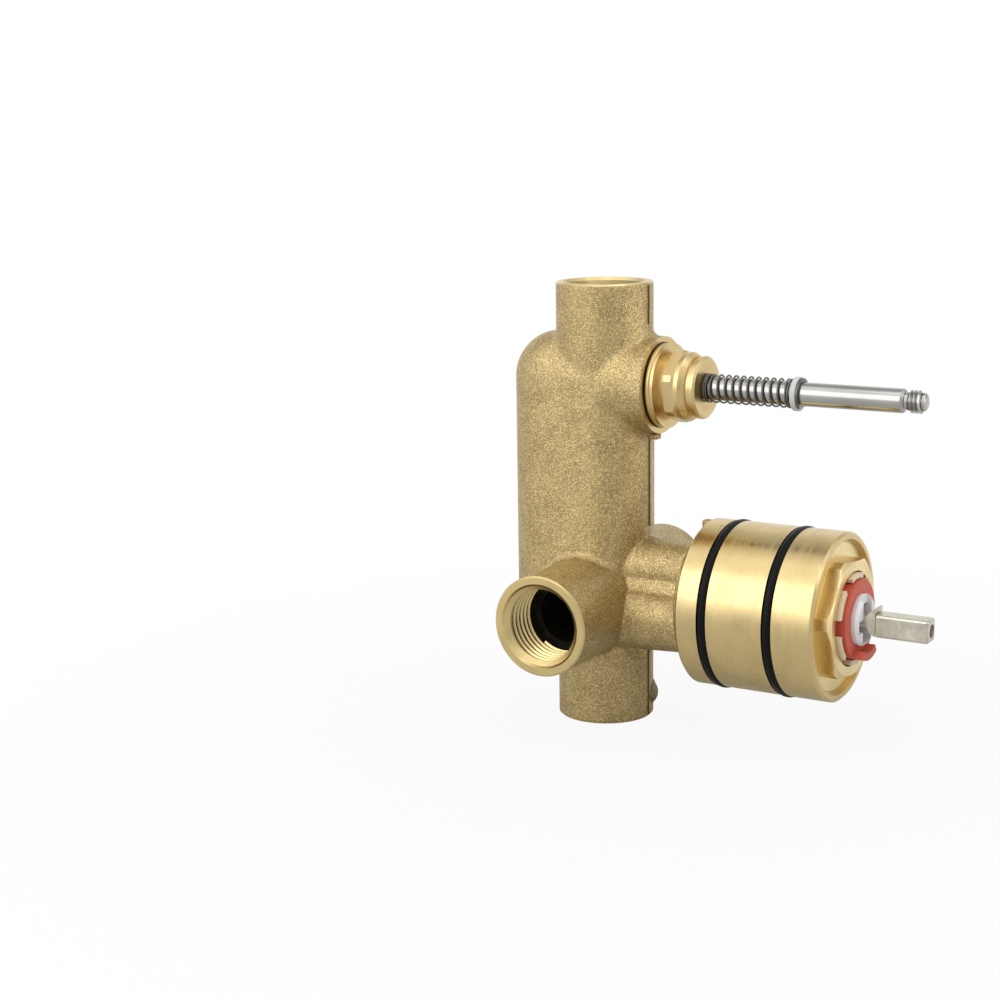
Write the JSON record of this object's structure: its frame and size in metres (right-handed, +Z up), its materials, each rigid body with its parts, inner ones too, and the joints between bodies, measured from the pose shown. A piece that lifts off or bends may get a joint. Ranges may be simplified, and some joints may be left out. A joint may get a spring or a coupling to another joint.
{
  "type": "concealed diverter valve",
  "caption": "Cast brass in-wall mixing valve with side inlets, upper and lower outlets, a front cup holding a lever cartridge and a spring-returned push diverter stem above it",
  "frame": {"origin": "centre of the spout outlet's mouth, at the bottom of the vertical tube", "axes": "+Z up along the vertical tube to the shower outlet, +X towards the cold inlet, cartridge and diverter stem face -Y"},
  "size_m": [0.0716, 0.1156, 0.1166],
  "materials": {
    "cast_brass": "sand cast, rough",
    "turned_brass": "turned, bright",
    "black_rubber": "matte",
    "cream_plastic": "satin",
    "white_plastic": "satin",
    "red_plastic": "satin",
    "grey_plastic": "satin",
    "ceramic": "lapped",
    "steel": "satin",
    "grey_metal": "dull plated"
  },
  "bodies": {
    "valve": {"valve_body": "cast_brass", "rear_cup_o_ring": "black_rubber", "front_cup_o_ring": "black_rubber", "cartridge_nut": "turned_brass", "cartridge_housing": "cream_plastic", "cartridge_base": "cream_plastic", "hot_port_seal": "black_rubber", "cold_port_seal": "black_rubber", "mixed_port_seal": "black_rubber", "fixed_disc": "ceramic", "bonnet": "turned_brass", "bonnet_gasket": "black_rubber", "inner_stem_seal": "black_rubber", "outer_stem_seal": "black_rubber", "return_spring": "steel"},
    "swivel": {"rotor": "white_plastic", "lever_pin": "steel", "limit_ring": "red_plastic"},
    "handle_lever": {"lever": "grey_metal"},
    "disc_slider": {"moving_disc": "ceramic", "disc_carrier": "white_plastic"},
    "diverter": {"stem": "steel", "spring_washer": "grey_plastic", "stem_clip": "steel", "piston": "turned_brass", "shower_seal": "black_rubber", "spout_seal": "black_rubber", "piston_nut": "turned_brass"}
  },
  "joints": [
    {"name": "lever_swivel", "type": "hinge", "parent": "valve", "child": "swivel", "pos_m": [0, -0.0622, 0.03454], "axis": [0, -1, 0], "range_deg": [-50, 50]},
    {"name": "lever_lift", "type": "hinge", "parent": "swivel", "child": "handle_lever", "pos_m": [0, -0.0622, 0.03454], "axis": [-1, 0, 0], "range_deg": [-12.5, 12.5]},
    {"name": "disc_slide", "type": "slide", "parent": "swivel", "child": "disc_slider", "axis": [0, 0, -1], "range_m": [-0.00238, 0.00238]},
    {"name": "diverter_push", "type": "slide", "parent": "valve", "child": "diverter", "axis": [0, 1, 0], "range_m": [0, 0.008], "stiffness_N_per_m": 150, "springref_m": -0.016, "deforming": ["return_spring"]}
  ],
  "couplings": [
    {"joint": "lever_lift", "follows": "disc_slide", "rad_per_m": 91.743}
  ]
}
